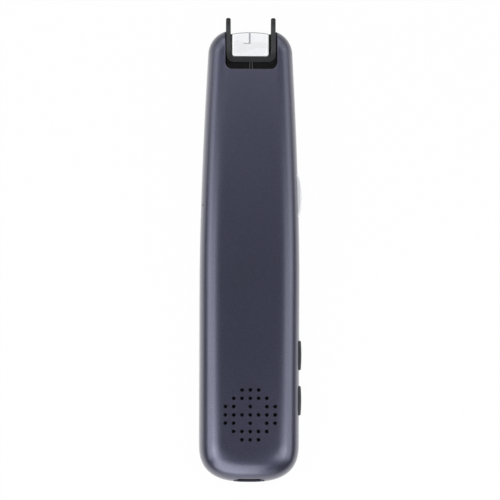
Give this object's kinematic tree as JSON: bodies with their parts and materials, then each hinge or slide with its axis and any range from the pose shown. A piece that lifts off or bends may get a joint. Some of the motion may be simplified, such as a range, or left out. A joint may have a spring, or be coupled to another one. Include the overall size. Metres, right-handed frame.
{
  "type": "scanning pen",
  "caption": "Hand-held scanning pen with a slate-blue metallic housing, a sprung black fork round a clear hood, a grille of round holes and side keys.",
  "frame": {"origin": "on the face of the front glass that the pen lies on, on the middle plane, half way along the length", "axes": "+X to the right side with the keys, +Y along the pen towards the nib, +Z out of the back"},
  "size_m": [0.0345, 0.157, 0.0127],
  "materials": {
    "housing": "matt metallic slate blue",
    "fork": "fine matt black",
    "clear": "clear, polished",
    "glass": "black backed, polished",
    "dark_key": "satin dark grey",
    "silver_key": "satin silver",
    "steel": "bright",
    "board": "green solder mask",
    "chip": "moulded black",
    "flex": "amber film",
    "cell": "satin foil",
    "soft": "matt",
    "white": "satin"
  },
  "bodies": {
    "pen": {"back_cover": "housing", "front_frame": "housing", "front_glass": "glass", "display_panel": "glass", "display_flex": "flex", "mid_frame": "steel", "frame_screw_1": "steel", "frame_screw_2": "steel", "frame_screw_3": "steel", "frame_screw_4": "steel", "frame_screw_5": "steel", "frame_screw_6": "steel", "main_board": "board", "soc_shield": "steel", "battery_connector": "white", "power_chip": "chip", "storage_chip": "chip", "radio_chip": "chip", "display_connector": "white", "board_screw_1": "steel", "board_screw_2": "steel", "board_screw_3": "steel", "board_screw_4": "steel", "battery_cell": "cell", "battery_lead_left": "soft", "battery_lead_right": "soft", "tail_flex": "flex", "speaker": "chip", "speaker_gasket": "soft", "speaker_mesh": "chip", "usb_board": "board", "usb_socket": "steel", "usb_tongue": "chip", "volume_up_switch": "steel", "volume_down_switch": "steel", "power_switch": "steel", "key_bracket": "steel", "key_flex": "flex", "microphone": "steel", "optics_carrier": "fork", "camera_body": "chip", "camera_lens": "glass", "led_board": "board", "led_left": "white", "led_right": "white", "nib_switch": "chip", "nib_spring_left": "steel", "nib_spring_right": "steel"},
    "nib": {"nib_fork": "fork", "nib_window": "clear", "nib_switch_plunger": "white"},
    "volume_up": {"volume_up_key": "dark_key", "volume_up_plunger": "white"},
    "volume_down": {"volume_down_key": "dark_key", "volume_down_plunger": "white"},
    "power": {"power_key": "silver_key", "power_plunger": "white"}
  },
  "joints": [
    {"name": "nib_press", "type": "slide", "parent": "pen", "child": "nib", "axis": [0, -1, 0], "range_m": [0, 0.001], "stiffness_N_per_m": 400, "springref_m": -0.001, "deforming": ["nib_spring_left", "nib_spring_right"]},
    {"name": "volume_up_press", "type": "slide", "parent": "pen", "child": "volume_up", "axis": [-1, 0, 0], "range_m": [0, 0.00035], "stiffness_N_per_m": 1200, "springref_m": -0.0004},
    {"name": "volume_down_press", "type": "slide", "parent": "pen", "child": "volume_down", "axis": [-1, 0, 0], "range_m": [0, 0.00035], "stiffness_N_per_m": 1200, "springref_m": -0.0004},
    {"name": "power_press", "type": "slide", "parent": "pen", "child": "power", "axis": [-1, 0, 0], "range_m": [0, 0.00035], "stiffness_N_per_m": 1200, "springref_m": -0.0004}
  ]
}
